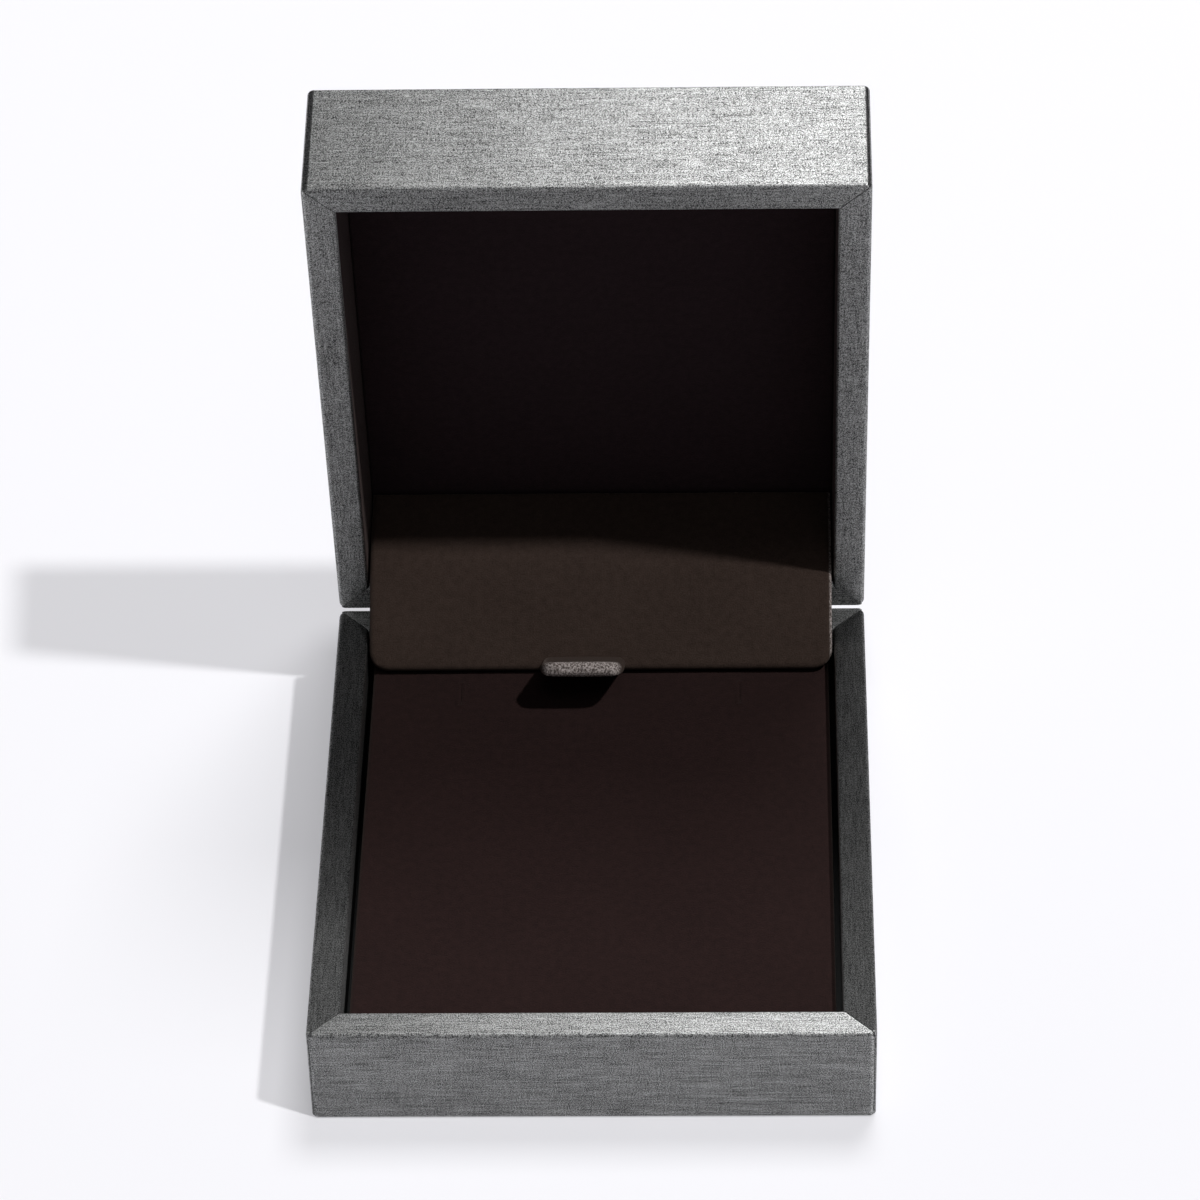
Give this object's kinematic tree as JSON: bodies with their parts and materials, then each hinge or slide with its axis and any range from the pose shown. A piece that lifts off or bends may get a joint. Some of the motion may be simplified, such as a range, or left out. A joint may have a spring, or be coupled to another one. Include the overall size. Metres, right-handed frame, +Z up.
{
  "type": "necklace gift box",
  "caption": "Hinged necklace gift box standing open, with a slitted velvet pad in the base, a velvet flap over the spring hinge and metallic leatherette outside.",
  "frame": {"origin": "centre of the base's bottom face", "axes": "+Z up, the front of the box towards -Y, the hinge along X at the back"},
  "size_m": [0.08, 0.1102, 0.1088],
  "materials": {
    "leatherette": "brushed metallic grey leatherette",
    "velvet": "short black-brown velvet pile",
    "core_plastic": "matt black moulding",
    "card": "grey board",
    "foam": "soft foam sheet",
    "hinge_steel": "plated steel"
  },
  "bodies": {
    "base": {"base_core": "core_plastic", "base_front_wrap": "leatherette", "base_back_wrap": "leatherette", "base_left_wrap": "leatherette", "base_right_wrap": "leatherette", "base_bottom_sheet": "leatherette", "pad_riser": "card", "pad_board": "card", "pad_foam": "foam", "pad_velvet": "velvet", "hinge_base_leaf": "hinge_steel", "hinge_pin": "hinge_steel", "snap_spring": "hinge_steel", "base_hinge_rivets": "hinge_steel"},
    "lid": {"lid_core": "core_plastic", "lid_front_wrap": "leatherette", "lid_back_wrap": "leatherette", "lid_left_wrap": "leatherette", "lid_right_wrap": "leatherette", "lid_top_sheet": "leatherette", "lid_panel_card": "card", "lid_panel_velvet": "velvet", "lid_liner": "velvet", "flap_glue_strip": "velvet", "hinge_lid_leaf": "hinge_steel", "lid_hinge_rivets": "hinge_steel"},
    "flap_rear": {"flap_rear_card": "card", "flap_rear_velvet": "velvet"},
    "flap": {"flap_front_card": "card", "flap_front_velvet": "velvet", "pull_tab": "velvet"}
  },
  "joints": [
    {"name": "lid_hinge", "type": "hinge", "parent": "base", "child": "lid", "pos_m": [0, 0.045, 0.0169], "axis": [1, 0, 0], "range_deg": [0, 82]},
    {"name": "flap_follow", "type": "hinge", "parent": "lid", "child": "flap_rear", "pos_m": [0, 0.05871, 0.02711], "axis": [1, 0, 0], "range_deg": [-71, 0]},
    {"name": "flap_lift", "type": "hinge", "parent": "flap_rear", "child": "flap", "pos_m": [0, 0.047, 0.0257], "axis": [-1, 0, 0], "range_deg": [0, 22]}
  ],
  "couplings": [
    {"joint": "flap_follow", "follows": "lid_hinge", "ratio": -0.86}
  ]
}
